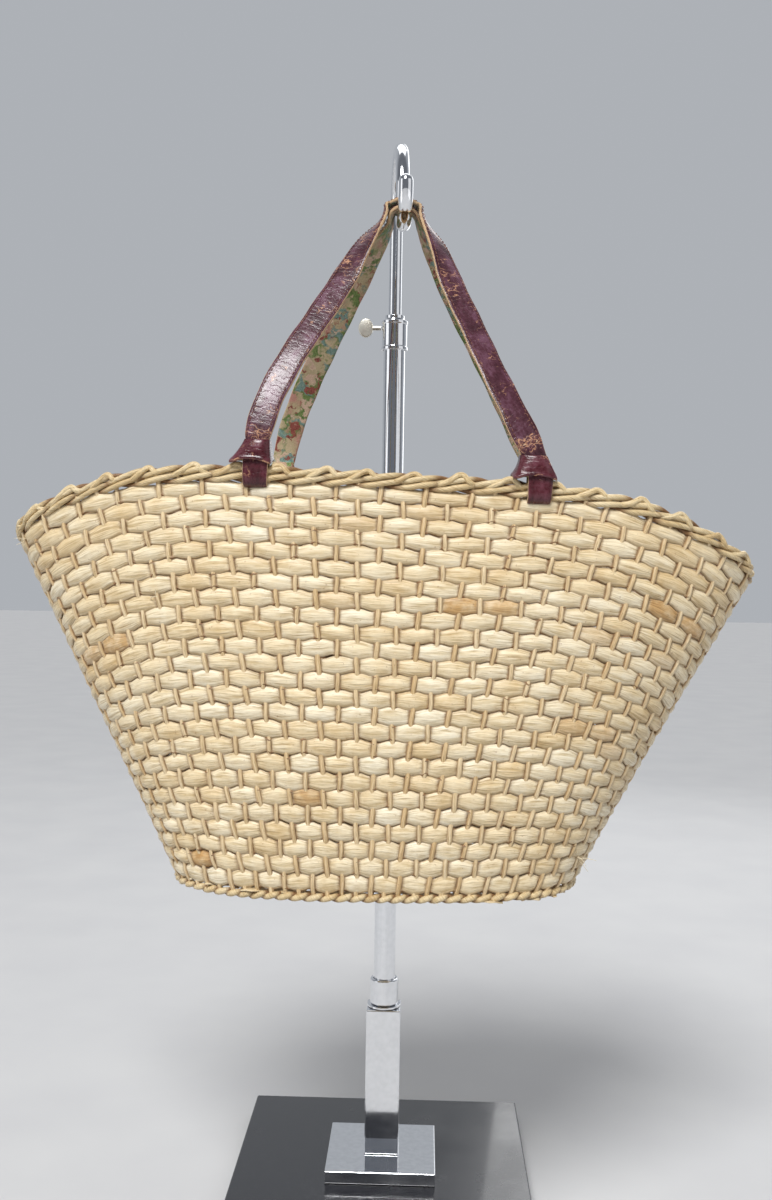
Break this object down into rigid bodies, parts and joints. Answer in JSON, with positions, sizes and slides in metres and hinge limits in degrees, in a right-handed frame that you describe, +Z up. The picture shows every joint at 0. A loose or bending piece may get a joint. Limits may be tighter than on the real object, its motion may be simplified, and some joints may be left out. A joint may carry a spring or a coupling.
{
  "type": "straw basket bag on a display stand",
  "caption": "Woven straw basket bag with a scalloped twined rim and strap handles, hung from the hook of a plain chrome display stand on a square board.",
  "frame": {"origin": "middle of the base board's underside", "axes": "+Z up along the stand's upright, +X to the right of the bag's front, +Y to the rear; the bag hangs on the -Y side of the upright"},
  "size_m": [0.4816, 0.2927, 0.7561],
  "materials": {
    "straw": "satin woven straw",
    "leather": "cracked gloss",
    "chrome": "mirror",
    "board": "gloss black"
  },
  "bodies": {
    "root": {"base_board": "board", "foot_plate": "chrome", "square_post": "chrome", "post_flange": "chrome", "upright_tube": "chrome", "lower_collar": "chrome", "upper_collar": "chrome", "thumb_screw": "chrome", "hook_rod": "chrome", "basket_body": "straw", "rim_cord_lower": "straw", "rim_cord_upper": "straw", "base_cord": "straw", "handle_front": "leather", "handle_rear": "leather", "handle_sleeve_front_left": "leather", "handle_sleeve_front_right": "leather", "handle_sleeve_rear_left": "leather", "handle_sleeve_rear_right": "leather"}
  },
  "joints": []
}
